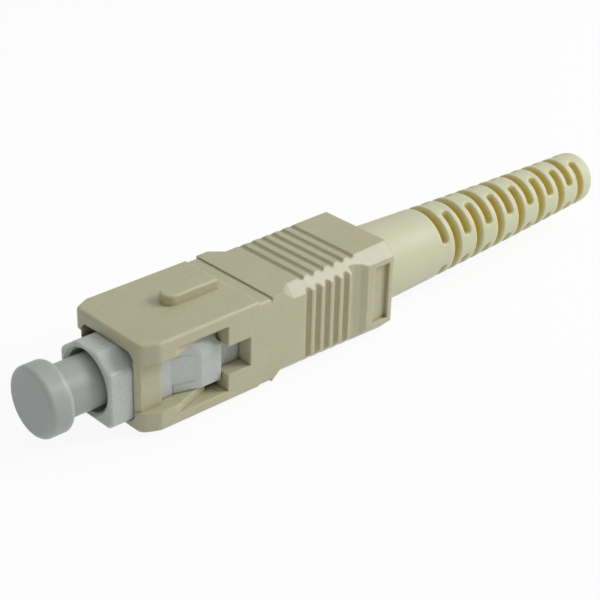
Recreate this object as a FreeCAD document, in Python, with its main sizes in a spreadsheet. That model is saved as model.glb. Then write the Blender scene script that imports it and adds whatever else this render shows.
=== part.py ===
"""SC optical fibre connector: a push-pull plug of 8.99 x 7.39 mm with its dust cap and boot.

Frame: millimetres, real size.  The ferrule axis is X, and +X is the mating direction.
+Z is the side that carries the key.  The origin is on the ferrule axis in the front face
of the plug frame, the face that meets the adapter.  A station is a distance behind that
face, so a station s sits at x = -s.
"""
import FreeCAD, Part
import math
import os
import re
import Sketcher
from FreeCAD import Placement, Rotation, Vector

doc = FreeCAD.newDocument("sc_connector")
sheet = doc.addObject("Spreadsheet::Sheet", "dims")

# ---------------------------------------------------------------------------
# Driving sizes, each named once (mm, degrees, counts)
# ---------------------------------------------------------------------------
SIZES = [
    # grip housing: the beige coupling sleeve that is pushed and pulled
    ("grip_front", 2.0), ("grip_rear", 27.35), ("grip_lift", 0.15),
    ("grip_hw", 4.495), ("grip_hh", 3.695), ("nose_rise", 0.07), ("edge_round", 0.3),
    ("nose_round", 0.8), ("rear_round", 0.25),
    ("strip_front", 12.85), ("strip_rear", 14.1), ("strip_hh", 3.60),
    ("riser_hh", 3.72), ("crest_at", 15.6), ("crest_hh", 3.76), ("rear_hh", 4.01),
    ("low_drop", 0.05), ("bevel_tip", 15.2), ("bevel_full", 16.3),
    ("low_bevel_tip", 14.1), ("low_bevel_full", 15.2),
    ("bevel_front", 0.95), ("bevel_rear", 1.06), ("nose_cut_y", 0.68), ("nose_cut_x", 1.42),
    # key on the top face
    ("key_front", 7.15), ("key_rear", 11.85), ("key_hw", 0.80), ("key_top", 4.56),
    ("key_nose_round", 0.70), ("key_top_round", 0.20),
    # latch channel, window, release ramps and lug slot in each side
    ("chan_hz", 2.05), ("chan_floor", 3.55), ("bar_rear", 4.23),
    ("bar_cut_x", 0.33), ("bar_cut_y", 0.42),
    ("win_hz", 2.77), ("win_rear", 9.79), ("ramp_front", 4.85), ("ramp_rear", 8.45),
    ("ramp_floor", 3.30), ("slot_hz", 1.23), ("slot_rear", 11.99),
    # finger grooves, thumb scoop and label panel
    ("top_groove_at", 17.85), ("top_groove_pitch", 1.066), ("top_grooves", 6),
    ("side_groove_at", 17.92), ("side_groove_pitch", 0.997), ("side_grooves", 5),
    ("groove_r", 0.30), ("top_groove_depth", 0.20), ("side_groove_depth", 0.30),
    ("scoop_front", 22.5), ("scoop_rear", 24.35), ("scoop_depth", 0.50),
    ("panel_front", 25.1), ("panel_rear", 26.75), ("panel_depth", 0.34), ("panel_hz", 2.5),
    # cavity of the grip and the float it allows
    ("slide_fit", 0.06), ("cav_corner", 0.45), ("bay_at", 13.4), ("bay_fit", 0.09),
    ("bay_reach", 0.1),
    ("travel", 1.3),
    # plug frame
    ("frame_hw", 3.04), ("frame_hh", 2.84), ("frame_rear", 15.5), ("frame_corner", 0.5),
    ("nose_len", 4.2), ("nose_top_y", 1.75), ("nose_top_z", 1.25), ("nose_low", 0.40),
    ("nose_top_r", 0.60), ("nose_low_r", 0.30), ("frame_edge", 0.28),
    ("bore_r", 2.47), ("bore_end", 4.6), ("mouth_cut", 0.25),
    ("seat_r", 1.68), ("seat_end", 5.4), ("rear_bore_r", 2.45),
    ("lug_front", 5.5), ("lug_crest", 7.85), ("lug_rear", 9.68), ("lug_y", 3.76), ("lug_hz", 1.15),
    ("stop_front", 10.6), ("stop_rear", 11.5), ("stop_z", 3.12), ("stop_hy", 1.0),
    # ferrule, its flange and the spring
    ("ferrule_r", 1.2495), ("ferrule_tip", 3.8), ("ferrule_len", 10.5), ("fibre_r", 0.0625),
    ("tip_cut", 0.25), ("funnel_r", 0.45), ("funnel_len", 0.9), ("press_gap", 0.005),
    ("seat_gap", 0.04), ("boss_len", 0.74), ("boss_r", 1.60), ("collar_len", 1.76),
    ("collar_r", 2.30), ("tail_r", 1.42), ("tail_len", 6.4), ("tail_bore_r", 0.50),
    ("notch_w", 0.8), ("notch_d", 0.45),
    ("tube_r", 0.47), ("tube_bore_r", 0.30), ("tube_gap", 0.7), ("tube_rear", 20.6),
    ("wire_r", 0.19), ("coil_r", 1.94), ("coil_turns", 5.5), ("coil_gap", 0.02),
    # backbone, crimp sleeve
    ("bb_front", 11.55), ("bb_front_r", 2.42), ("bb_bore_r", 1.54), ("bb_collar_r", 2.95),
    ("bb_collar_rear", 16.3), ("bb_barrel_r", 2.0), ("bb_rear", 22.2), ("knurls", 9),
    ("knurl_pitch", 0.56), ("knurl_w", 0.26), ("knurl_d", 0.14), ("knurl_at", 16.9),
    ("crimp_front", 16.5), ("crimp_in_r", 2.03), ("crimp_out_r", 2.42), ("crimp_neck", 22.6),
    ("crimp_neck_end", 23.2), ("crimp_tail_in", 1.58), ("crimp_tail_out", 1.92),
    ("crimp_rear", 26.4),
    # boot
    ("boot_front", 16.6), ("boot_front_r", 2.95), ("flare_at", 24.6), ("flare_end", 26.2),
    ("boot_root_r", 3.43), ("tip_land", 2.28),
    ("boot_tip_r", 2.34), ("boot_socket_r", 2.46), ("boot_neck_r", 1.96),
    ("boot_bore_r", 1.55), ("boot_tip_round", 0.70), ("boot_core_r", 1.92),
    ("slot_a_at", 35.3), ("slot_b_at", 36.8), ("slot_pitch", 2.92), ("slots", 7),
    ("slot_w", 0.90), ("slot_arc", 140.0), ("slot_end_r", 0.40),
    # dust cap
    ("cap_front", 4.7), ("cap_shoulder", 2.65), ("cap_head_r", 2.80), ("cap_neck_r", 2.08),
    ("cap_rear", 2.3), ("cap_bore_r", 1.268), ("cap_bore_end", 4.05), ("cap_round", 0.45),
]
NUMBER = {}
for row, (alias, value) in enumerate(SIZES, start=1):
    sheet.set("A%d" % row, alias)
    sheet.set("B%d" % row, repr(float(value)))
    sheet.setAlias("B%d" % row, alias)
    NUMBER[alias] = float(value)
doc.recompute()

TERM = re.compile(r"([+-]?)\s*([A-Za-z_]\w*|\d+\.?\d*)")


def val(expr):
    """The number a sum of named sizes stands for."""
    total = 0.0
    for sign, token in TERM.findall(expr):
        number = NUMBER[token] if token in NUMBER else float(token)
        total += -number if sign == "-" else number
    return total


def same(expr):
    return expr


def negated(expr):
    """The same sum with every sign turned round."""
    out = ""
    for sign, token in TERM.findall(expr):
        out += ("+" if out else "") + token if sign == "-" else "-" + token
    return out


def bound(expr):
    """The same sum as a spreadsheet expression."""
    return re.sub(r"[A-Za-z_]\w*", lambda m: "dims." + m.group(0), expr)


# ---------------------------------------------------------------------------
# Builders
# ---------------------------------------------------------------------------
def plane_of(body, role):
    return [f for f in body.Origin.OriginFeatures if f.Role == role][0]


def profile(body, name, role, points, lift=None):
    """A closed sketch: every corner is held by two sizes from the sheet."""
    sk = body.newObject("Sketcher::SketchObject", name)
    sk.AttachmentSupport = [(plane_of(body, role), "")]
    sk.MapMode = "FlatFace"
    if lift is not None:
        sk.setExpression("AttachmentOffset.Base.z", bound(lift))
    n = len(points)
    xy = [Vector(val(a), val(b), 0) for a, b in points]
    for i in range(n):
        sk.addGeometry(Part.LineSegment(xy[i], xy[(i + 1) % n]), False)
    for i in range(n):
        sk.addConstraint(Sketcher.Constraint("Coincident", i, 2, (i + 1) % n, 1))
    for i, (a, b) in enumerate(points):
        for kind, axis, expr in (("DistanceX", -2, a), ("DistanceY", -1, b)):
            if expr == "0":
                sk.addConstraint(Sketcher.Constraint("PointOnObject", i, 1, axis))
            else:
                k = sk.addConstraint(Sketcher.Constraint(kind, -1, 1, i, 1, val(expr)))
                sk.setExpression("Constraints[%d]" % k, bound(expr))
    return sk


def padded(name, role, points, length, lift=None):
    """A body padded from one profile, half to each side of its plane."""
    body = doc.addObject("PartDesign::Body", name)
    sk = profile(body, name + "_profile", role, points, lift)
    pad = body.newObject("PartDesign::Pad", name + "_pad")
    pad.Profile = sk
    pad.setExpression("Length", bound(length))
    pad.SideType = "Symmetric"
    body.Tip = pad
    return body


def turned(name, points):
    """A body turned about the ferrule axis; the profile gives (x, radius) corners."""
    body = doc.addObject("PartDesign::Body", name)
    sk = profile(body, name + "_profile", "XZ_Plane", points)
    rev = body.newObject("PartDesign::Revolution", name + "_turn")
    rev.Profile = sk
    rev.ReferenceAxis = (sk, ["H_Axis"])
    rev.Angle = 360.0
    body.Tip = rev
    return body


def block(name, x0, x1, y0, y1, z0, z1):
    """A box between six named planes."""
    box = doc.addObject("Part::Box", name)
    for prop, lo, hi in (("Length", x0, x1), ("Width", y0, y1), ("Height", z0, z1)):
        box.setExpression(prop, "(%s)-(%s)" % (bound(hi), bound(lo)))
    for axis, lo in (("x", x0), ("y", y0), ("z", z0)):
        box.setExpression("Placement.Base." + axis, bound(lo))
    return box


def rod(name, radius, x0, length, along="X", y=None, z=None):
    """A cylinder along X, Y or Z starting at a named plane."""
    cyl = doc.addObject("Part::Cylinder", name)
    turn = {"X": Rotation(Vector(0, 1, 0), 90), "Y": Rotation(Vector(1, 0, 0), -90),
            "Z": Rotation()}[along]
    cyl.Placement = Placement(Vector(0, 0, 0), turn)
    cyl.setExpression("Radius", bound(radius))
    cyl.setExpression("Height", bound(length))
    cyl.setExpression("Placement.Base.x", bound(x0))
    if y is not None:
        cyl.setExpression("Placement.Base.y", bound(y))
    if z is not None:
        cyl.setExpression("Placement.Base.z", bound(z))
    return cyl


def fused(name, pieces):
    f = doc.addObject("Part::MultiFuse", name)
    f.Shapes = pieces
    return f


def cut(name, base, tool):
    c = doc.addObject("Part::Cut", name)
    c.Base = base
    c.Tool = tool
    return c


def softened(name, base, radius, keep):
    """Rounds the edges a rule picks out."""
    doc.recompute()
    edges = [(i, radius, radius) for i, e in enumerate(base.Shape.Edges, start=1) if keep(e)]
    if not edges:
        raise ValueError(name + " found no edge to round")
    f = doc.addObject("Part::Fillet", name)
    f.Base = base
    f.Edges = edges
    return f


def lies(edge, axis):
    """True when a straight edge runs along the axis (0, 1 or 2)."""
    if edge.Curve.TypeId != "Part::GeomLine":
        return False
    d = edge.Curve.Direction
    return abs(abs((d.x, d.y, d.z)[axis]) - 1.0) < 0.01


# ---------------------------------------------------------------------------
# Grip housing
# ---------------------------------------------------------------------------
def grip_length(name, stations):
    """A length of the grip: half heights at its stations, upper and lower."""
    upper = [("-" + at, high + "+grip_lift") for at, high, low in stations]
    lower = [("-" + at, negated(low) + "+grip_lift") for at, high, low in reversed(stations)]
    return padded(name, "XZ_Plane", upper + lower, "grip_hw+grip_hw")


nose_block = grip_length("grip_nose_block", [("grip_front", "grip_hh", "grip_hh"),
                                             ("strip_front", "grip_hh+nose_rise", "grip_hh")])
strip_block = grip_length("grip_strip_block", [("strip_front", "strip_hh", "strip_hh"),
                                               ("strip_rear", "strip_hh", "strip_hh")])
rear_block = grip_length("grip_rear_block", [
    ("strip_rear", "riser_hh", "strip_hh"), ("crest_at", "crest_hh", "crest_hh-low_drop"),
    ("grip_rear", "rear_hh", "rear_hh-low_drop")])
nose_cuts = []
for k, y in (("l", same), ("r", negated)):
    nose = [("-grip_front+1", y("grip_hw-nose_cut_y")), ("-grip_front", y("grip_hw-nose_cut_y")),
            ("-grip_front-nose_cut_x", y("grip_hw")), ("-grip_front-nose_cut_x", y("grip_hw+1")),
            ("-grip_front+1", y("grip_hw+1"))]
    nose_cuts.append(padded("nose_cut_" + k, "XY_Plane", nose, "grip_hh+grip_hh+2"))
hull_cut = cut("grip_hull_cut", nose_block, fused("nose_cuts", nose_cuts))
hull_nose = softened("grip_hull_nose", hull_cut, NUMBER["nose_round"],
                     lambda e: lies(e, 2) and e.CenterOfMass.x > -val("grip_front+nose_cut_x") - 0.1)
hull_soft = softened("grip_hull_soft", hull_nose, NUMBER["edge_round"],
                     lambda e: e.CenterOfMass.x > -val("strip_front") + 0.1
                     and abs(e.CenterOfMass.z - val("grip_lift")) > val("grip_hh") - 0.02)
strip_soft = softened("grip_strip_soft", strip_block, NUMBER["edge_round"],
                      lambda e: lies(e, 0))


def corner_bevel(name, sy, sz):
    """One long edge bevel; it runs out in a slanted facet at its front end."""
    y, rear = NUMBER["grip_hw"], val("grip_rear")
    tip, full = ((val("bevel_tip"), val("bevel_full")) if sz > 0
                 else (val("low_bevel_tip"), val("low_bevel_full")))
    drop = 0.0 if sz > 0 else NUMBER["low_drop"]
    c0, c1, lift = NUMBER["bevel_front"], NUMBER["bevel_rear"], NUMBER["grip_lift"]
    slope = (val("rear_hh") - val("crest_hh")) / (rear - val("crest_at"))

    def top(s):
        return val("crest_hh") - drop + slope * (s - val("crest_at"))

    def triangle(s, c):
        over = 0.6
        pts = [Vector(-s, sy * (y - c - over), lift + sz * (top(s) + over)),
               Vector(-s, sy * (y + over), lift + sz * (top(s) - c - over)),
               Vector(-s, sy * (y + over), lift + sz * (top(s) + over))]
        return Part.makePolygon(pts + pts[:1])
    run_out = Part.makeLoft([triangle(tip, -0.02), triangle(full, c0)], True, True)
    length = Part.makeLoft([triangle(full, c0), triangle(rear + 0.5, c1)], True, True)
    f = doc.addObject("Part::Feature", name)
    f.Shape = run_out.fuse(length).removeSplitter()
    return f


bevels = [corner_bevel("bevel_%d" % i, sy, sz)
          for i, (sy, sz) in enumerate(((1, 1), (-1, 1), (1, -1), (-1, -1)))]
grip_block = cut("grip_block", rear_block, fused("grip_bevels", bevels))
grip_round = softened("grip_round", grip_block, NUMBER["rear_round"],
                      lambda e: e.CenterOfMass.x < -val("grip_rear") + 0.01)

side_cuts = []

# latch channel, window, release ramps and lug slot on each side
for k, y, s in (("l", same, 1), ("r", negated, -1)):
    outer = sorted([y("chan_floor"), y("grip_hw+1")], key=val)
    through = sorted([y("frame_hw-1"), y("grip_hw+1")], key=val)
    side_cuts.append(block("channel_" + k, "-bar_rear-1", "-grip_front+1", outer[0], outer[1],
                           "-chan_hz+grip_lift", "chan_hz+grip_lift"))
    side_cuts.append(block("window_" + k, "-win_rear", "-bar_rear", through[0], through[1],
                           "-chan_hz+grip_lift", "chan_hz+grip_lift"))
    side_cuts.append(block("lug_slot_" + k, "-slot_rear", "-win_rear+1", through[0], through[1],
                           "-slot_hz", "slot_hz"))
    ramp = [("-ramp_front", y("grip_hw")), ("-ramp_rear", y("ramp_floor")),
            ("-ramp_rear", y("frame_hw-1")), ("-win_rear", y("frame_hw-1")),
            ("-win_rear", y("grip_hw+1")), ("-ramp_front", y("grip_hw+1"))]
    side_cuts.append(padded("ramps_" + k, "XY_Plane", ramp, "win_hz+win_hz", "grip_lift"))
    bar = [("-grip_front+1", y("chan_floor-bar_cut_y")), ("-grip_front", y("chan_floor-bar_cut_y")),
           ("-grip_front-bar_cut_x", y("chan_floor")), ("-grip_front-bar_cut_x", y("grip_hw+1")),
           ("-grip_front+1", y("grip_hw+1"))]
    side_cuts.append(padded("bar_cut_" + k, "XY_Plane", bar, "chan_hz+chan_hz", "grip_lift"))

# finger grooves: round-bottomed, across the top and bottom and up both sides
groove_cuts = []
top_sink = NUMBER["groove_r"] - NUMBER["top_groove_depth"]
side_sink = NUMBER["groove_r"] - NUMBER["side_groove_depth"]
for i in range(int(NUMBER["top_grooves"])):
    s = val("top_groove_at") + i * NUMBER["top_groove_pitch"]
    rise = (val("rear_hh") - val("crest_hh")) / (val("grip_rear") - val("crest_at"))
    z = val("crest_hh") + rise * (s - val("crest_at")) + top_sink
    for k, sz, drop in (("t", 1, 0.0), ("b", -1, NUMBER["low_drop"])):
        c = doc.addObject("Part::Cylinder", "groove_%s%d" % (k, i))
        c.setExpression("Radius", bound("groove_r"))
        c.setExpression("Height", bound("grip_hw+grip_hw+2"))
        c.Placement = Placement(Vector(-s, -val("grip_hw+1"), val("grip_lift") + sz * (z - drop)),
                                Rotation(Vector(1, 0, 0), -90))
        c.setExpression("Placement.Base.x",
                        "-dims.top_groove_at-%d*dims.top_groove_pitch" % i)
        groove_cuts.append(c)
for i in range(int(NUMBER["side_grooves"])):
    for k, sy in (("l", 1), ("r", -1)):
        c = doc.addObject("Part::Cylinder", "groove_%s%d" % (k, i))
        c.setExpression("Radius", bound("groove_r"))
        c.setExpression("Height", bound("rear_hh+rear_hh+2"))
        c.Placement = Placement(Vector(0, sy * (val("grip_hw") + side_sink),
                                       -val("rear_hh+1")), Rotation())
        c.setExpression("Placement.Base.x",
                        "-dims.side_groove_at-%d*dims.side_groove_pitch" % i)
        groove_cuts.append(c)

# thumb scoop and recessed label panel on both sides
for k, y in (("l", same), ("r", negated)):
    scoop = [("-scoop_front", y("grip_hw-scoop_depth")), ("-scoop_front-0.7", y("grip_hw-scoop_depth+0.06")),
             ("-scoop_front-1.3", y("grip_hw-scoop_depth+0.22")), ("-scoop_rear", y("grip_hw")),
             ("-scoop_rear", y("grip_hw+1")), ("-scoop_front", y("grip_hw+1"))]
    groove_cuts.append(padded("scoop_" + k, "XY_Plane", scoop, "rear_hh+rear_hh+2"))
    skin = sorted([y("grip_hw-panel_depth"), y("grip_hw+1")], key=val)
    groove_cuts.append(block("panel_" + k, "-panel_rear", "-panel_front", skin[0], skin[1],
                             "-panel_hz+grip_lift", "panel_hz+grip_lift"))

# cavity: a close slide for the plug frame, then a round bay for boot and backbone
cav_front = padded("cavity_front", "YZ_Plane", [
    ("frame_hw+slide_fit", "-frame_hh-slide_fit+cav_corner"),
    ("frame_hw+slide_fit", "frame_hh+slide_fit-cav_corner"),
    ("frame_hw+slide_fit-cav_corner", "frame_hh+slide_fit"),
    ("-frame_hw-slide_fit+cav_corner", "frame_hh+slide_fit"),
    ("-frame_hw-slide_fit", "frame_hh+slide_fit-cav_corner"),
    ("-frame_hw-slide_fit", "-frame_hh-slide_fit+cav_corner"),
    ("-frame_hw-slide_fit+cav_corner", "-frame_hh-slide_fit"),
    ("frame_hw+slide_fit-cav_corner", "-frame_hh-slide_fit")], "frame_rear+frame_rear+bay_reach+bay_reach")
bay = turned("cavity_bay", [
    ("-bay_at", "0"), ("-bay_at", "boot_front_r+bay_fit"),
    ("-flare_at+travel+bay_reach", "boot_front_r+bay_fit"),
    ("-flare_end+travel+bay_reach", "boot_root_r+bay_fit"),
    ("-grip_rear-1", "boot_root_r+bay_fit"), ("-grip_rear-1", "0")])
stop_pockets = block("stop_pockets", "-stop_rear-0.04", "-stop_front+travel+0.04",
                     "-stop_hy-slide_fit", "stop_hy+slide_fit",
                     "-stop_z-slide_fit", "stop_z+slide_fit")

key = block("grip_key", "-key_rear", "-key_front", "-key_hw", "key_hw",
            "grip_hh-0.5", "key_top+grip_lift")
key_soft = softened("grip_key_soft", key, NUMBER["key_nose_round"],
                    lambda e: lies(e, 2) and e.CenterOfMass.x > -val("key_front") - 0.1)
key_top = softened("grip_key_top", key_soft, NUMBER["key_top_round"],
                   lambda e: abs(e.BoundBox.ZMin - val("key_top+grip_lift")) < 1e-6)
grip_solid = fused("grip_solid", [hull_soft, strip_soft, grip_round, key_top])
grip_tools = fused("grip_tools", side_cuts + groove_cuts
                   + [cav_front, bay, stop_pockets])
grip = cut("grip_housing", grip_solid, grip_tools)

# ---------------------------------------------------------------------------
# Plug frame
# ---------------------------------------------------------------------------
def frame_section(top_y, top_z, low):
    """The frame seen from the front: cut corners above, smaller ones below."""
    right = [("frame_hw", "-frame_hh+" + low), ("frame_hw", "frame_hh-" + top_z),
             ("frame_hw-" + top_y, "frame_hh")]
    left = [(negated(y), z) for y, z in reversed(right)]
    return right + left + [("-frame_hw+" + low, "-frame_hh"), ("frame_hw-" + low, "-frame_hh")]


def frame_length(name, section, start, length):
    """A length of the frame's section, from a station rearwards."""
    body = doc.addObject("PartDesign::Body", name)
    sk = profile(body, name + "_profile", "YZ_Plane", section, start)
    pad = body.newObject("PartDesign::Pad", name + "_pad")
    pad.Profile = sk
    pad.setExpression("Length", bound(length))
    pad.Reversed = True
    body.Tip = pad
    return body


nose = frame_length("frame_nose", frame_section("nose_top_y", "nose_top_z", "nose_low"),
                    "0", "nose_len")
nose_low = softened("frame_nose_low", nose, NUMBER["nose_low_r"],
                    lambda e: lies(e, 0) and e.CenterOfMass.z < 0)
nose_top = softened("frame_nose_top", nose_low, NUMBER["nose_top_r"],
                    lambda e: lies(e, 0) and e.CenterOfMass.z > 0.8)
nose_soft = softened("frame_nose_soft", nose_top, NUMBER["frame_edge"],
                     lambda e: e.BoundBox.XMin > -1e-6)
frame_bar = frame_length("frame_bar", frame_section("frame_corner", "frame_corner", "frame_corner"),
                         "-nose_len", "frame_rear-nose_len")
lugs = []
for k, y in (("l", same), ("r", negated)):
    lug = [("-lug_front", y("frame_hw-0.5")), ("-lug_front", y("frame_hw")),
           ("-lug_crest", y("lug_y")), ("-lug_rear", y("lug_y")),
           ("-lug_rear", y("frame_hw-0.5"))]
    lugs.append(padded("lug_" + k, "XY_Plane", lug, "lug_hz+lug_hz"))
stops = block("frame_stops", "-stop_rear", "-stop_front", "-stop_hy", "stop_hy",
              "-stop_z", "stop_z")
frame_bore = turned("frame_bore", [
    ("0+1", "0"), ("0+1", "bore_r+mouth_cut"), ("0", "bore_r+mouth_cut"), ("-mouth_cut", "bore_r"),
    ("-bore_end", "bore_r"), ("-bore_end", "seat_r"), ("-seat_end", "seat_r"),
    ("-seat_end", "rear_bore_r"), ("-frame_rear-1", "rear_bore_r"), ("-frame_rear-1", "0")])
frame = cut("plug_frame", fused("frame_solid", [nose_soft, frame_bar] + lugs + [stops]), frame_bore)

# ---------------------------------------------------------------------------
# Ferrule, flange, spring
# ---------------------------------------------------------------------------
ferrule = turned("ferrule", [
    ("ferrule_tip", "fibre_r"), ("ferrule_tip", "ferrule_r-tip_cut-0.2"),
    ("ferrule_tip-0.03", "ferrule_r-tip_cut"),
    ("ferrule_tip-tip_cut-0.2", "ferrule_r"), ("ferrule_tip-ferrule_len", "ferrule_r"),
    ("ferrule_tip-ferrule_len", "funnel_r"), ("ferrule_tip-ferrule_len+funnel_len", "fibre_r")])
flange_turned = turned("flange_turned", [
    ("-seat_end-seat_gap+boss_len", "ferrule_r+press_gap"),
    ("-seat_end-seat_gap+boss_len", "boss_r-0.1"), ("-seat_end-seat_gap+boss_len-0.1", "boss_r"),
    ("-seat_end-seat_gap", "boss_r"), ("-seat_end-seat_gap", "collar_r-0.2"),
    ("-seat_end-seat_gap-0.2", "collar_r"), ("-seat_end-seat_gap-collar_len+0.1", "collar_r"),
    ("-seat_end-seat_gap-collar_len", "collar_r-0.1"), ("-seat_end-seat_gap-collar_len", "tail_r"),
    ("-seat_end-seat_gap-collar_len-tail_len+0.1", "tail_r"),
    ("-seat_end-seat_gap-collar_len-tail_len", "tail_r-0.1"),
    ("-seat_end-seat_gap-collar_len-tail_len", "tail_bore_r"),
    ("ferrule_tip-ferrule_len-press_gap", "tail_bore_r"),
    ("ferrule_tip-ferrule_len-press_gap", "ferrule_r+press_gap")])
notches = []
for k, (deep, wide, side) in enumerate((("y", "z", same), ("y", "z", negated),
                                        ("z", "y", same), ("z", "y", negated))):
    lo = sorted([side("collar_r-notch_d"), side("collar_r+1")], key=val)[0]
    notch = doc.addObject("Part::Box", "notch_%d" % k)
    notch.setExpression("Length", bound("collar_len+1"))
    notch.setExpression("Height" if wide == "z" else "Width", bound("notch_w"))
    notch.setExpression("Width" if wide == "z" else "Height", bound("notch_d+1"))
    notch.setExpression("Placement.Base.x", bound("-seat_end-seat_gap-collar_len-0.5"))
    notch.setExpression("Placement.Base." + wide, "-dims.notch_w/2")
    notch.setExpression("Placement.Base." + deep, bound(lo))
    notches.append(notch)
flange = cut("ferrule_flange", flange_turned, fused("flange_notches", notches))

guide = turned("guide_tube", [
    ("ferrule_tip-ferrule_len-tube_gap", "tube_bore_r"), ("ferrule_tip-ferrule_len-tube_gap", "tube_r"),
    ("-tube_rear", "tube_r"), ("-tube_rear", "tube_bore_r")])

coil_len = val("bb_front-seat_end-seat_gap-collar_len") - 2 * (NUMBER["wire_r"] + NUMBER["coil_gap"])
helix = Part.makeHelix(coil_len / NUMBER["coil_turns"], coil_len, NUMBER["coil_r"])
wire_disc = Part.Wire(Part.makeCircle(NUMBER["wire_r"], Vector(NUMBER["coil_r"], 0, 0),
                                      Vector(0, 1, 0)))
coil = Part.Wire(helix).makePipeShell([wire_disc], True, True)
spring = doc.addObject("Part::Feature", "ferrule_spring")
spring.Shape = coil
spring.Placement = Placement(
    Vector(-val("bb_front") + NUMBER["wire_r"] + NUMBER["coil_gap"], 0, 0),
    Rotation(Vector(0, 1, 0), 90))

# ---------------------------------------------------------------------------
# Backbone and crimp sleeve
# ---------------------------------------------------------------------------
backbone_turned = turned("backbone_turned", [
    ("-bb_front", "bb_bore_r"), ("-bb_front", "bb_front_r-0.15"), ("-bb_front-0.15", "bb_front_r"),
    ("-frame_rear-0.02", "bb_front_r"), ("-frame_rear-0.02", "bb_collar_r"),
    ("-bb_collar_rear", "bb_collar_r"), ("-bb_collar_rear", "bb_barrel_r"),
    ("-bb_rear+0.15", "bb_barrel_r"), ("-bb_rear", "bb_barrel_r-0.15"), ("-bb_rear", "bb_bore_r")])
rings = []
for i in range(int(NUMBER["knurls"])):
    ring = rod("knurl_out_%d" % i, "bb_barrel_r+1", "0", "knurl_w")
    core = rod("knurl_core_%d" % i, "bb_barrel_r-knurl_d", "0", "knurl_w")
    for c in (ring, core):
        c.setExpression("Placement.Base.x", "-dims.knurl_at-%d*dims.knurl_pitch-dims.knurl_w" % i)
    rings.append(cut("knurl_%d" % i, ring, core))
backbone = cut("backbone", backbone_turned, fused("knurl_rings", rings))
crimp = turned("crimp_sleeve", [
    ("-crimp_front", "crimp_in_r"), ("-crimp_front", "crimp_out_r-0.1"),
    ("-crimp_front-0.1", "crimp_out_r"), ("-crimp_neck", "crimp_out_r"),
    ("-crimp_neck_end", "crimp_tail_out"), ("-crimp_rear", "crimp_tail_out"),
    ("-crimp_rear", "crimp_tail_in"), ("-crimp_neck_end", "crimp_tail_in"),
    ("-crimp_neck", "crimp_in_r")])

# ---------------------------------------------------------------------------
# Boot: a tapered rubber sleeve with seven pairs of crossed slots
# ---------------------------------------------------------------------------
def radial(edge):
    """True for the short edges that run outwards at the ends of a slot."""
    if edge.Curve.TypeId != "Part::GeomLine" or edge.CenterOfMass.x > -val("slot_a_at") + 1:
        return False
    d, c = edge.Curve.Direction, edge.CenterOfMass
    return abs(d.x) < 0.01 and edge.Length < val("boot_root_r") - val("boot_core_r") + 0.2


last_slot = "-slot_b_at" + "-slot_pitch" * (int(NUMBER["slots"]) - 1)
boot = turned("boot_turned", [
    ("-boot_front", "boot_socket_r"), ("-boot_front", "boot_front_r"),
    ("-flare_at", "boot_front_r"), ("-flare_end", "boot_root_r"), ("-grip_rear", "boot_root_r"),
    (last_slot + "-tip_land", "boot_tip_r"), (last_slot + "-tip_land", "boot_bore_r"),
    ("-crimp_rear-0.6", "boot_bore_r"), ("-crimp_rear-0.15", "boot_neck_r"),
    ("-crimp_neck_end-0.06", "boot_neck_r"), ("-crimp_neck-0.06", "boot_socket_r")])
doc.recompute()
for tag, role, side, at in (("a_top", "XZ_Plane", same, "slot_a_at"),
                            ("a_low", "XZ_Plane", negated, "slot_a_at"),
                            ("b_near", "XY_Plane", same, "slot_b_at"),
                            ("b_far", "XY_Plane", negated, "slot_b_at")):
    half = "%.3f" % (NUMBER["slot_w"] / 2)
    low, high = side("boot_core_r"), side("boot_root_r+1")
    pts = [("-" + at + "+" + half, low), ("-" + at + "+" + half, high),
           ("-" + at + "-" + half, high), ("-" + at + "-" + half, low)]
    sk = profile(boot, "slot_%s_profile" % tag, role, pts)
    groove = boot.newObject("PartDesign::Groove", "slot_" + tag)
    groove.Profile = sk
    groove.ReferenceAxis = (sk, ["H_Axis"])
    groove.setExpression("Angle", bound("slot_arc"))
    groove.Midplane = True
    doc.recompute()
    row = boot.newObject("PartDesign::LinearPattern", "row_" + tag)
    row.Originals = [groove]
    row.Direction = (sk, ["H_Axis"])
    row.Reversed = True
    row.setExpression("Length", "dims.slot_pitch*(dims.slots-1)")
    row.setExpression("Occurrences", "dims.slots")
    boot.Tip = row
    doc.recompute()
boot_slots = softened("boot_slots", boot, NUMBER["slot_end_r"], radial)
boot_soft = softened("boot_soft", boot_slots, NUMBER["boot_tip_round"],
                     lambda e: abs(e.BoundBox.YMax - val("boot_tip_r")) < 1e-3
                     and e.BoundBox.XLength < 1e-3)

# ---------------------------------------------------------------------------
# Dust cap
# ---------------------------------------------------------------------------
cap_turned = turned("cap_turned", [
    ("cap_front", "0"), ("cap_front", "cap_head_r"), ("cap_shoulder", "cap_head_r"),
    ("cap_shoulder", "cap_neck_r"), ("-cap_rear+0.2", "cap_neck_r"),
    ("-cap_rear", "cap_neck_r-0.2"), ("-cap_rear", "cap_bore_r+0.15"),
    ("-cap_rear+0.15", "cap_bore_r"), ("cap_bore_end", "cap_bore_r"), ("cap_bore_end", "0")])
cap = softened("dust_cap", cap_turned, NUMBER["cap_round"],
               lambda e: abs(e.BoundBox.YMax - val("cap_head_r")) < 1e-3
               and e.BoundBox.XLength < 1e-3)
doc.recompute()

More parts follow.
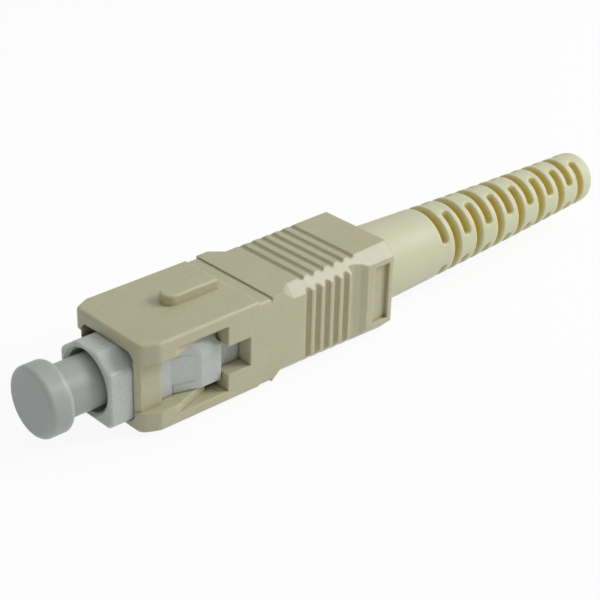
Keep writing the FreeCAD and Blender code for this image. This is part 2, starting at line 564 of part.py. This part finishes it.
# ---------------------------------------------------------------------------
# Check and write
# ---------------------------------------------------------------------------
NODES = [("dust_cap", cap), ("ferrule", ferrule), ("ferrule_flange", flange),
         ("guide_tube", guide), ("ferrule_spring", spring), ("plug_frame", frame), ("backbone", backbone),
         ("crimp_sleeve", crimp), ("grip_housing", grip), ("boot", boot_soft)]
for ob in doc.Objects:
    if "Invalid" in ob.State or "Error" in ob.State:
        raise RuntimeError("%s did not compute: %s" % (ob.Name, ob.State))
os.makedirs("parts", exist_ok=True)
for label, ob in NODES:
    ob.Label = label
    shape = ob.Shape
    if shape.isNull() or not shape.isValid() or len(shape.Solids) != 1:
        raise RuntimeError("%s is not one good solid: %d" % (label, len(shape.Solids)))
    shape.exportStep(os.path.join("parts", label + ".step"))
    b = shape.BoundBox
    print("%-15s x %8.3f %8.3f  y %7.3f %7.3f  z %7.3f %7.3f  vol %8.3f"
          % (label, b.XMin, b.XMax, b.YMin, b.YMax, b.ZMin, b.ZMax, shape.Volume))
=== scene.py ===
# %% [markdown]
# # An SC fibre connector, dressed from its solids
# The plug is a beige coupling sleeve that slides on a white inner frame.  A soft dust cap
# covers the ferrule at the front, and a slotted rubber boot protects the cable exit at the
# back.  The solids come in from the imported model, and this file gives each its finish.
# %% Load the solids
import math

import bmesh
import bpy
from mathutils import Matrix, Vector

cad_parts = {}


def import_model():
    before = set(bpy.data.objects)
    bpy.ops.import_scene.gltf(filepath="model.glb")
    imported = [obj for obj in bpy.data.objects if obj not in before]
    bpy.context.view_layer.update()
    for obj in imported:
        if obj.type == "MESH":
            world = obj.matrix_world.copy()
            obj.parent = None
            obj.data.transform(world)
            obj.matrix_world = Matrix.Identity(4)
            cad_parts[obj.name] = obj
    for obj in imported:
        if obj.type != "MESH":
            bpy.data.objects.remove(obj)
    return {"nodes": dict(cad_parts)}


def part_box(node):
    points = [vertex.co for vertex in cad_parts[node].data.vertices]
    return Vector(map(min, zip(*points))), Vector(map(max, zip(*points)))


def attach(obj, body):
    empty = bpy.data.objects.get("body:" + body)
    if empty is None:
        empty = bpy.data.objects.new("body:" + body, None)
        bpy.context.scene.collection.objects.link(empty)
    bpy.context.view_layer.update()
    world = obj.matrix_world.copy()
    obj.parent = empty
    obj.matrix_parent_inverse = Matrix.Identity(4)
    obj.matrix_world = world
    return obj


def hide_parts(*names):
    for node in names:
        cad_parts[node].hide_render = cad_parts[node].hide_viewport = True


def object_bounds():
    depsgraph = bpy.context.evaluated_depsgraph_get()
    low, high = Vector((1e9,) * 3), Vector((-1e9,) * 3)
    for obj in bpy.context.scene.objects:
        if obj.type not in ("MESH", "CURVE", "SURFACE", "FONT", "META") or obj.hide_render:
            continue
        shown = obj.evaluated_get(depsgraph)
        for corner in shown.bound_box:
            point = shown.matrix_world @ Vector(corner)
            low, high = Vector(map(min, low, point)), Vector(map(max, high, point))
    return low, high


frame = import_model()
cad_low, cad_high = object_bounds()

MM = 0.001
nodes = frame["nodes"]
print("solids:", sorted(nodes))
print("size in mm:", [round(v / MM, 2) for v in (cad_high - cad_low)])

# %% [markdown]
# ## Two small helpers
# Colours are easier to talk about as the hex values that a paint chart gives, but the
# renderer works in linear light, so one function turns one into the other.  A second adds
# a shader node with its settings and links in one line.
# %% Helpers for colours and nodes
def linear(hex_colour):
    """An sRGB hex colour as linear red, green, blue and alpha."""
    out = []
    for i in (0, 2, 4):
        c = int(hex_colour[i:i + 2], 16) / 255
        out.append(c / 12.92 if c <= 0.04045 else ((c + 0.055) / 1.055) ** 2.4)
    return (*out, 1.0)


def add(tree, kind, inputs=None, **settings):
    """A new shader node; an input is a value or the socket that feeds it."""
    n = tree.nodes.new(kind)
    for key, value in settings.items():
        setattr(n, key, value)
    for key, value in (inputs or {}).items():
        if isinstance(value, bpy.types.NodeSocket):
            tree.links.new(value, n.inputs[key])
        else:
            n.inputs[key].default_value = value
    return n


def new_material(name):
    """An empty node material with its tree, principled shader and object coordinates."""
    material = bpy.data.materials.new(name)
    material.use_nodes = True
    tree = material.node_tree
    shader = tree.nodes["Principled BSDF"]
    coords = add(tree, "ShaderNodeTexCoord").outputs["Object"]
    return material, tree, shader, coords


def per_mm(size):
    """The noise scale, in metres, whose grains are about this many millimetres wide."""
    return 1 / (size * MM)


print("linear beige:", [round(c, 3) for c in linear("c4c0a4")])

# %% [markdown]
# ## Moulded thermoplastic
# The sleeve and the frame are injection moulded PBT, a dense plastic that is stiff and
# slightly waxy.  The steel mould leaves a fine satin grain, the melt leaves faint clouds
# where it met and cooled, and every edge has a small radius because a mould has no
# perfectly sharp corner.  The bevel node gives that radius to the light without cutting
# the solid, and a little scattering under the skin softens the shadows.  Inner corners,
# where light bounces and picks up the pigment, get painted shade: the occlusion node finds
# them and the base colour is mixed there towards a deeper tone of the same colour.
# %% Moulded plastic
def moulded(name, light, dark, corner, grain_mm, grain_um, edge_mm, rough, scatter,
            scatter_mm):
    material, tree, shader, coords = new_material(name)
    cloud = add(tree, "ShaderNodeTexNoise",
                {"Vector": coords, "Scale": per_mm(4.0), "Detail": 3.0, "Roughness": 0.6})
    speck = add(tree, "ShaderNodeTexNoise",
                {"Vector": coords, "Scale": per_mm(0.35), "Detail": 2.0})
    tint = add(tree, "ShaderNodeMath", {0: cloud.outputs["Fac"], 1: speck.outputs["Fac"]},
               operation="MULTIPLY")
    spread = add(tree, "ShaderNodeMapRange",
                 {"Value": tint.outputs[0], "From Min": 0.12, "From Max": 0.40})
    colour = add(tree, "ShaderNodeMix", {"Factor": spread.outputs[0], "A": linear(dark),
                                         "B": linear(light)}, data_type="RGBA")
    # Painted shade: inner corners found by the occlusion node are mixed towards the corner
    # colour.
    shade = add(tree, "ShaderNodeAmbientOcclusion", {"Distance": 0.6 * MM}, samples=8)
    painted_corner_shade = add(tree, "ShaderNodeMapRange", {"Value": shade.outputs["AO"], "From Min": 0.20,
                                            "From Max": 0.72, "To Min": 1.0, "To Max": 0.0})
    skin = add(tree, "ShaderNodeMix", {"Factor": painted_corner_shade.outputs[0], "A": colour.outputs["Result"],
                                       "B": linear(corner)}, data_type="RGBA")
    grain = add(tree, "ShaderNodeTexNoise",
                {"Vector": coords, "Scale": per_mm(grain_mm), "Detail": 3.0})
    edge = add(tree, "ShaderNodeBevel", {"Radius": edge_mm * MM}, samples=6)
    bump = add(tree, "ShaderNodeBump",
               {"Strength": 1.0, "Distance": grain_um * 1e-6, "Height": grain.outputs["Fac"],
                "Normal": edge.outputs["Normal"]})
    gloss = add(tree, "ShaderNodeMapRange",
                {"Value": grain.outputs["Fac"], "To Min": rough - 0.06, "To Max": rough + 0.06})
    tree.links.new(skin.outputs["Result"], shader.inputs["Base Color"])
    tree.links.new(gloss.outputs[0], shader.inputs["Roughness"])
    tree.links.new(bump.outputs["Normal"], shader.inputs["Normal"])
    shader.inputs["IOR"].default_value = 1.5
    shader.inputs["Subsurface Weight"].default_value = scatter
    shader.inputs["Subsurface Radius"].default_value = (1.0, 0.75, 0.4)
    shader.inputs["Subsurface Scale"].default_value = scatter_mm * MM
    return material


# The third colour of each plastic is its painted corner shade.
beige_pbt = moulded("beige_pbt_satin_moulded", "c4c0a4", "bdb999", "948a4a",
                    0.12, 4.0, 0.20, 0.36, 0.35, 0.5)
white_pbt = moulded("white_pbt_smooth_moulded", "c9cec9", "c2c8c3", "b0b4a9",
                    0.20, 0.8, 0.12, 0.28, 0.35, 0.9)
print("plastics:", beige_pbt.name, white_pbt.name)

# %% [markdown]
# ## Soft polyethylene
# The dust cap is natural low density polyethylene.  It has no pigment, so light goes some
# way in and comes out a milky grey, and its skin is waxy with a soft shine.
# %% Milky polyethylene
def milky_polyethylene():
    material, tree, shader, coords = new_material("milky_ldpe_moulded")
    cloud = add(tree, "ShaderNodeTexNoise",
                {"Vector": coords, "Scale": per_mm(2.5), "Detail": 4.0})
    colour = add(tree, "ShaderNodeMix", {"Factor": cloud.outputs["Fac"], "A": linear("adb2ae"),
                                         "B": linear("b5bab6")}, data_type="RGBA")
    grain = add(tree, "ShaderNodeTexNoise",
                {"Vector": coords, "Scale": per_mm(0.22), "Detail": 3.0})
    edge = add(tree, "ShaderNodeBevel", {"Radius": 0.08 * MM}, samples=6)
    bump = add(tree, "ShaderNodeBump", {"Strength": 1.0, "Distance": 4e-6,
                                        "Height": grain.outputs["Fac"],
                                        "Normal": edge.outputs["Normal"]})
    gloss = add(tree, "ShaderNodeMapRange",
                {"Value": cloud.outputs["Fac"], "To Min": 0.32, "To Max": 0.46})
    tree.links.new(colour.outputs["Result"], shader.inputs["Base Color"])
    tree.links.new(gloss.outputs[0], shader.inputs["Roughness"])
    tree.links.new(bump.outputs["Normal"], shader.inputs["Normal"])
    shader.inputs["IOR"].default_value = 1.51
    shader.inputs["Subsurface Weight"].default_value = 0.8
    shader.inputs["Subsurface Radius"].default_value = (0.9, 1.0, 1.05)
    shader.inputs["Subsurface Scale"].default_value = 1.2 * MM
    return material


ldpe = milky_polyethylene()
print("cap material:", ldpe.name)

# %% [markdown]
# ## Rubbery elastomer
# The boot is a cream thermoplastic elastomer.  Its skin is duller than the hard plastic,
# and it lets some light through.  The narrow slots get painted shade, a deeper yellow in the
# colour; the mesh stores how far into a slot each point lies, and the shade follows that.
# %% Cream elastomer
def cream_elastomer():
    material, tree, shader, coords = new_material("cream_tpe_moulded")
    cloud = add(tree, "ShaderNodeTexNoise",
                {"Vector": coords, "Scale": per_mm(3.0), "Detail": 4.0})
    skin = add(tree, "ShaderNodeMix", {"Factor": cloud.outputs["Fac"], "A": linear("cbccad"),
                                       "B": linear("d3d4b7")}, data_type="RGBA")
    # Painted shade: the further a point lies in a slot, the more its colour is mixed towards a
    # deeper yellow.
    depth = add(tree, "ShaderNodeAttribute", attribute_name="slot_depth")
    painted_slot_shade = add(tree, "ShaderNodeMapRange", {"Value": depth.outputs["Fac"], "From Min": 0.0,
                                            "From Max": 0.6}, interpolation_type="SMOOTHSTEP")
    colour = add(tree, "ShaderNodeMix", {"Factor": painted_slot_shade.outputs[0],
                                         "A": skin.outputs["Result"], "B": linear("d0be60")},
                 data_type="RGBA")
    grain = add(tree, "ShaderNodeTexNoise",
                {"Vector": coords, "Scale": per_mm(0.16), "Detail": 3.0})
    bump = add(tree, "ShaderNodeBump", {"Strength": 1.0, "Distance": 5e-6,
                                        "Height": grain.outputs["Fac"]})
    gloss = add(tree, "ShaderNodeMapRange",
                {"Value": grain.outputs["Fac"], "To Min": 0.46, "To Max": 0.58})
    tree.links.new(colour.outputs["Result"], shader.inputs["Base Color"])
    tree.links.new(gloss.outputs[0], shader.inputs["Roughness"])
    tree.links.new(bump.outputs["Normal"], shader.inputs["Normal"])
    shader.inputs["IOR"].default_value = 1.5
    shader.inputs["Subsurface Weight"].default_value = 0.5
    shader.inputs["Subsurface Radius"].default_value = (1.0, 0.85, 0.45)
    shader.inputs["Subsurface Scale"].default_value = 0.8 * MM
    return material


tpe = cream_elastomer()
print("boot material:", tpe.name)

# %% [markdown]
# ## Metal, ceramic and clear tube
# The pieces inside show only when the cap is off or the plug is opened, but each still has
# its own finish: ground zirconia is dense, white and glossy; the flange is nickel-plated
# brass with fine turning marks round the axis; the spring and the crimp sleeve are bright
# metal; and the guide tube is a waxy white fluoropolymer.
# %% Small parts
def ceramic():
    """Ground zirconia with a slightly uneven polish."""
    material, tree, shader, coords = new_material("zirconia_ground")
    ring = add(tree, "ShaderNodeTexNoise", {"Vector": coords, "Scale": per_mm(0.08)})
    gloss = add(tree, "ShaderNodeMapRange",
                {"Value": ring.outputs["Fac"], "To Min": 0.10, "To Max": 0.18})
    shader.inputs["Base Color"].default_value = linear("eeeeea")
    tree.links.new(gloss.outputs[0], shader.inputs["Roughness"])
    shader.inputs["IOR"].default_value = 2.15
    shader.inputs["Subsurface Weight"].default_value = 0.2
    shader.inputs["Subsurface Scale"].default_value = 0.3 * MM
    return material


def metal(name, colour, rough, mark_mm):
    """Turned metal: fine rings round the axis break up the shine."""
    material, tree, shader, coords = new_material(name)
    along = add(tree, "ShaderNodeMapping", {"Vector": coords, "Scale": (1.0, 0.03, 0.03)})
    marks = add(tree, "ShaderNodeTexNoise", {"Vector": along.outputs[0],
                                             "Scale": per_mm(mark_mm), "Detail": 2.0})
    gloss = add(tree, "ShaderNodeMapRange",
                {"Value": marks.outputs["Fac"], "To Min": rough - 0.08, "To Max": rough + 0.08})
    bump = add(tree, "ShaderNodeBump",
               {"Strength": 0.6, "Distance": 2e-6, "Height": marks.outputs["Fac"]})
    shader.inputs["Base Color"].default_value = linear(colour)
    shader.inputs["Metallic"].default_value = 1.0
    tree.links.new(gloss.outputs[0], shader.inputs["Roughness"])
    tree.links.new(bump.outputs["Normal"], shader.inputs["Normal"])
    return material


FINISH = {
    "grip_housing": beige_pbt,
    "plug_frame": white_pbt,
    # The backbone and the guide tube also get painted corner shade from their third colour.
    "backbone": moulded("backbone_zinc_grey", "a9abaa", "a2a4a4", "6c6d6c", 0.15, 3.0, 0.05,
                         0.35, 0.1, 0.1),
    "dust_cap": ldpe,
    "ferrule": ceramic(),
    "ferrule_flange": metal("nickel_plated_brass_turned", "cfc8b6", 0.28, 0.06),
    "ferrule_spring": metal("spring_steel_drawn", "b9babb", 0.25, 0.05),
    "crimp_sleeve": metal("crimp_copper_tinned", "c4c2bc", 0.32, 0.08),
    "guide_tube": moulded("white_ptfe_drawn", "e2e4e2", "dadcdc", "b4b6b2", 0.1, 1.0, 0.03,
                           0.4, 0.5, 0.5),
}
for name, material in FINISH.items():
    slots = nodes[name].data.materials
    slots.clear()
    slots.append(material)
print("finished solids:", sorted(FINISH))

# %% [markdown]
# ## The boot
# The boot is a soft tapered sleeve with fourteen pairs of narrow slots.  Slots on the top
# and bottom alternate with slots on the two sides, so it bends evenly and never kinks the
# fibre.  Cutting with booleans would leave hard lips.  Here the outline is spun into a
# sleeve with a row of points on each wall of each slot, and the skin is then pressed in
# where a slot lies, which gives every lip and slot end its moulded roundness.
# %% Boot sizes
GRIP_REAR = 27.35           # where the sleeve comes out of the coupling
FRONT_R, ROOT_R, TIP_R = 2.95, 3.43, 2.34
FLARE_AT, FLARE_END = 24.6, 26.2      # the neck inside the coupling opens to the root here
SOCKET_R, NECK_R = 2.46, 1.96         # inside, over the crimp sleeve and its neck
FRONT_CHAMFER = 0.06
TIP, TIP_ROUND = 56.6, 1.0
BEND_Y, BEND_Z = -0.09, 0.40     # how far the tip has crept off the axis in use
BORE_R = 1.55
SLOT_FLOOR_R = 1.92
SLOT_W, SLOT_ARC = 0.76, math.radians(140)
SLOT_A, SLOT_B, SLOT_PITCH, SLOTS = 35.3, 36.8, 2.92, 7
WALL = 0.12                 # half the width over which the skin turns down into a slot
SPIN = 216
SLOT_ROWS = [(s + i * SLOT_PITCH, turn) for i in range(SLOTS)
             for s, turn in ((SLOT_A, math.pi / 2), (SLOT_B, 0.0))]


def skin_radius(station):
    return ROOT_R + (TIP_R - ROOT_R) * (station - GRIP_REAR) / (TIP - GRIP_REAR)


def sleeve_outline():
    """(station, radius) corners of the half section, outside first, closed."""
    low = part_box("boot")[1].x / -MM      # the front end, as a station
    outside = [(low, SOCKET_R + FRONT_CHAMFER), (low, FRONT_R - FRONT_CHAMFER),
               (low + FRONT_CHAMFER, FRONT_R), (FLARE_AT, FRONT_R), (FLARE_END, ROOT_R),
               (GRIP_REAR, ROOT_R)]
    rows = {29.0, 30.8, 32.6, 34.0, TIP - TIP_ROUND}
    for s, _ in SLOT_ROWS:
        for off in (0.0, 0.2, 0.28, 0.33, 0.38, 0.43, 0.48, 0.53, 0.60, 0.66):
            rows |= {s - off, s + off}
    rows = sorted(rows)
    kept = [rows[0]]
    for r in rows[1:]:
        if r - kept[-1] > 0.03:
            kept.append(r)
    outside += [(s, skin_radius(s)) for s in kept if s <= TIP - TIP_ROUND]
    r_end = skin_radius(TIP - TIP_ROUND)
    for i in range(1, 9):
        a = math.pi / 2 * i / 8
        outside.append((TIP - TIP_ROUND + TIP_ROUND * math.sin(a),
                        r_end - TIP_ROUND + TIP_ROUND * math.cos(a)))
    inside = [(TIP, BORE_R + 0.08), (TIP - 0.08, BORE_R), (50.0, BORE_R), (40.0, BORE_R),
              (27.0, BORE_R), (26.55, NECK_R), (23.26, NECK_R), (22.66, SOCKET_R),
              (low + FRONT_CHAMFER, SOCKET_R)]
    return outside + inside


outline = sleeve_outline()
print("outline points:", len(outline), "slots:", 2 * len(SLOT_ROWS))

# %% Spin the sleeve and press the slots in
def slot_sink(station, angle, radius):
    """How far down the slot wall a point of the skin lies: 0 on the skin, 1 on the floor."""
    sink = 0.0
    for s, turn in SLOT_ROWS:
        along = abs(station - s)
        if along > SLOT_W:
            continue
        away = abs((angle - turn + math.pi / 2) % math.pi - math.pi / 2)
        across = max(0.0, away * radius - (SLOT_ARC / 2 * radius - SLOT_W / 2))
        reach = math.hypot(along, across)
        t = min(1.0, max(0.0, (SLOT_W / 2 + WALL - reach) / (2 * WALL)))
        sink = max(sink, t * t * (3 - 2 * t))
    return sink


def boot_sleeve():
    """The outline spun round the axis, with its slots pressed in and its slight bend."""
    bm = bmesh.new()
    loop = [bm.verts.new((-s * MM, 0.0, r * MM)) for s, r in outline]
    edges = [bm.edges.new((a, b)) for a, b in zip(loop, loop[1:] + loop[:1])]
    bmesh.ops.spin(bm, geom=loop + edges, cent=(0, 0, 0), axis=(1, 0, 0),
                   angle=math.tau, steps=SPIN, use_merge=True)
    bmesh.ops.remove_doubles(bm, verts=bm.verts, dist=1e-7)
    bmesh.ops.recalc_face_normals(bm, faces=bm.faces)
    # This slot depth also drives the painted slot shade of the boot's colour.
    depth = bm.verts.layers.float.new("slot_depth")
    for v in bm.verts:
        station, radius = -v.co.x / MM, math.hypot(v.co.y, v.co.z) / MM
        if radius < skin_radius(station) - 0.02 or station > TIP - TIP_ROUND:
            continue
        sink = slot_sink(station, math.atan2(v.co.z, v.co.y), radius)
        v[depth] = sink
        scale = 1 - sink * (1 - SLOT_FLOOR_R / radius)
        v.co.y *= scale
        v.co.z *= scale
    for v in bm.verts:
        t = max(0.0, (-v.co.x / MM - GRIP_REAR) / (TIP - GRIP_REAR))
        v.co.y += BEND_Y * MM * t * t
        v.co.z += BEND_Z * MM * t * t
    for f in bm.faces:
        f.smooth = True
    mesh = bpy.data.meshes.new("boot_sleeve")
    bm.to_mesh(mesh)
    bm.free()
    return bpy.data.objects.new("boot_sleeve", mesh)


boot = boot_sleeve()
bpy.context.scene.collection.objects.link(boot)
boot.data.materials.append(tpe)
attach(boot, "plug")
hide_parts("boot")
print("boot:", len(boot.data.vertices), "points")

# %% [markdown]
# ## Latch lugs
# Each lug on the frame starts as a ramp as tall as the window in the sleeve.  The ramp
# climbs to a crest that leans back along its upper side.  This form takes in the plainer
# lug of the solid.
# %% Latch lugs
LUG_FRONT, LUG_CREST, LUG_REAR = 5.48, 7.85, 9.69
SIDE_Y, CREST_Y = 3.01, 3.765
LUG_LOW, LUG_TOP, LEAN_TOP = -1.86, 1.15, 2.05


def latch_lug(side, name):
    """The convex lug on one side of the frame, from corner points in mm."""
    bm = bmesh.new()
    corners = [(LUG_FRONT, SIDE_Y, LUG_LOW), (LUG_CREST, CREST_Y, LUG_LOW),
               (LUG_REAR, CREST_Y, LUG_LOW), (LUG_REAR, SIDE_Y, LUG_LOW),
               (LUG_CREST, CREST_Y, LUG_TOP), (LUG_REAR, CREST_Y, LUG_TOP),
               (LUG_REAR, SIDE_Y, LUG_TOP), (LUG_FRONT, SIDE_Y, LEAN_TOP),
               (7.0, 3.49, LEAN_TOP), (9.3, SIDE_Y, LEAN_TOP)]
    for station, y, z in corners:
        bm.verts.new((-station * MM, side * y * MM, z * MM))
    bmesh.ops.convex_hull(bm, input=bm.verts)
    bmesh.ops.recalc_face_normals(bm, faces=bm.faces)
    mesh = bpy.data.meshes.new(name)
    bm.to_mesh(mesh)
    bm.free()
    obj = bpy.data.objects.new(name, mesh)
    mesh.materials.append(white_pbt)
    bpy.context.scene.collection.objects.link(obj)
    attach(obj, "plug")
    return obj


lugs = [latch_lug(1, "latch_lug_left"), latch_lug(-1, "latch_lug_right")]
print("lugs:", [o.name for o in lugs])

# %% [markdown]
# ## Floor and light
# The connector lies on a plain white sheet, as a small product does on a light table.  A
# soft key lamp stands behind it on the latch side, so the long bevels catch the most light,
# and a wide lamp fills from above.  The sheet is white to the camera and still takes a
# faint shadow.
# %% Stage
def sheet_material():
    """White where it is seen directly or mirrored, plain paper to every other ray."""
    material, tree, shader, coords = new_material("white_paper_sheet")
    rays = add(tree, "ShaderNodeLightPath")
    seen = add(tree, "ShaderNodeMath", {0: rays.outputs["Is Camera Ray"],
                                        1: rays.outputs["Is Glossy Ray"]}, operation="MAXIMUM")
    through = add(tree, "ShaderNodeMath", {0: seen.outputs[0],
                                           1: rays.outputs["Is Transmission Ray"]},
                  operation="MAXIMUM")
    white = add(tree, "ShaderNodeEmission", {"Color": (1, 1, 1, 1), "Strength": 1.0})
    share = add(tree, "ShaderNodeMath", {0: through.outputs[0], 1: 0.92},
                operation="MULTIPLY")
    shader.inputs["Base Color"].default_value = linear("f4f4f4")
    shader.inputs["Roughness"].default_value = 0.9
    mix = add(tree, "ShaderNodeMixShader", {0: share.outputs[0], 1: shader.outputs[0],
                                            2: white.outputs[0]})
    tree.links.new(mix.outputs[0], tree.nodes["Material Output"].inputs["Surface"])
    return material


def floor():
    bm = bmesh.new()
    bmesh.ops.create_grid(bm, x_segments=1, y_segments=1, size=0.6)
    bmesh.ops.translate(bm, verts=bm.verts, vec=(0, 0, cad_low.z - 0.05 * MM))
    mesh = bpy.data.meshes.new("floor_sheet")
    bm.to_mesh(mesh)
    bm.free()
    obj = bpy.data.objects.new("floor_sheet", mesh)
    mesh.materials.append(sheet_material())
    bpy.context.scene.collection.objects.link(obj)
    return obj


floor()


def world():
    """Pale air: white behind everything, dimmer as a source of light."""
    w = bpy.data.worlds.new("studio_air")
    bpy.context.scene.world = w
    w.use_nodes = True
    tree = w.node_tree
    background = tree.nodes["Background"]
    rays = add(tree, "ShaderNodeLightPath")
    strength = add(tree, "ShaderNodeMapRange", {"Value": rays.outputs["Is Camera Ray"],
                                                "To Min": 0.40, "To Max": 1.0})
    background.inputs["Color"].default_value = (1, 1, 1, 1)
    tree.links.new(strength.outputs[0], background.inputs["Strength"])


world()


def lamp(name, azimuth, elevation, distance, size, watts, aim):
    """A square soft lamp; azimuth runs from +X towards +Y, both angles in degrees."""
    a, e = math.radians(azimuth), math.radians(elevation)
    back = Vector((math.cos(a) * math.cos(e), math.sin(a) * math.cos(e), math.sin(e)))
    data = bpy.data.lights.new(name, "AREA")
    data.shape = "SQUARE"
    data.size = size
    data.energy = watts
    obj = bpy.data.objects.new(name, data)
    obj.location = aim + back * distance
    obj.rotation_mode = "QUATERNION"
    obj.rotation_quaternion = back.to_track_quat("Z", "Y")
    bpy.context.scene.collection.objects.link(obj)
    return obj


middle = (cad_low + cad_high) / 2
lamp("key_lamp", 143, 38, 0.25, 0.12, 0.35, middle)
lamp("top_lamp", 200, 75, 0.45, 0.45, 0.30, middle)
print("lamps aimed at", [round(v / MM, 1) for v in middle])

# %% [markdown]
# ## Camera
# A long lens from the front corner, a little above, shows the mouth, the key side and the
# whole length of the boot at once.
# %% Camera
def camera(target, azimuth, elevation, roll, distance, lens, shift):
    a, e, r = (math.radians(v) for v in (azimuth, elevation, roll))
    back = Vector((math.cos(a) * math.cos(e), math.sin(a) * math.cos(e), math.sin(e)))
    right = Vector((-math.sin(a), math.cos(a), 0))
    up = back.cross(right)
    right, up = (right * math.cos(r) + up * math.sin(r), up * math.cos(r) - right * math.sin(r))
    data = bpy.data.cameras.new("camera")
    data.sensor_width = 36.0
    data.lens = lens
    data.shift_x, data.shift_y = shift
    data.clip_start, data.clip_end = 0.005, 5.0
    obj = bpy.data.objects.new("camera", data)
    turn = Matrix((right, up, back)).transposed()
    obj.matrix_world = Matrix.Translation(target + back * distance) @ turn.to_4x4()
    bpy.context.scene.collection.objects.link(obj)
    return obj


bpy.context.scene.camera = camera(Vector((-22 * MM, 0, 0)), 46.219, 27.989, 1.778, 126.32 * MM,
                                  93.63, (-0.0126, -0.0172))
bpy.context.scene.view_settings.view_transform = "Standard"
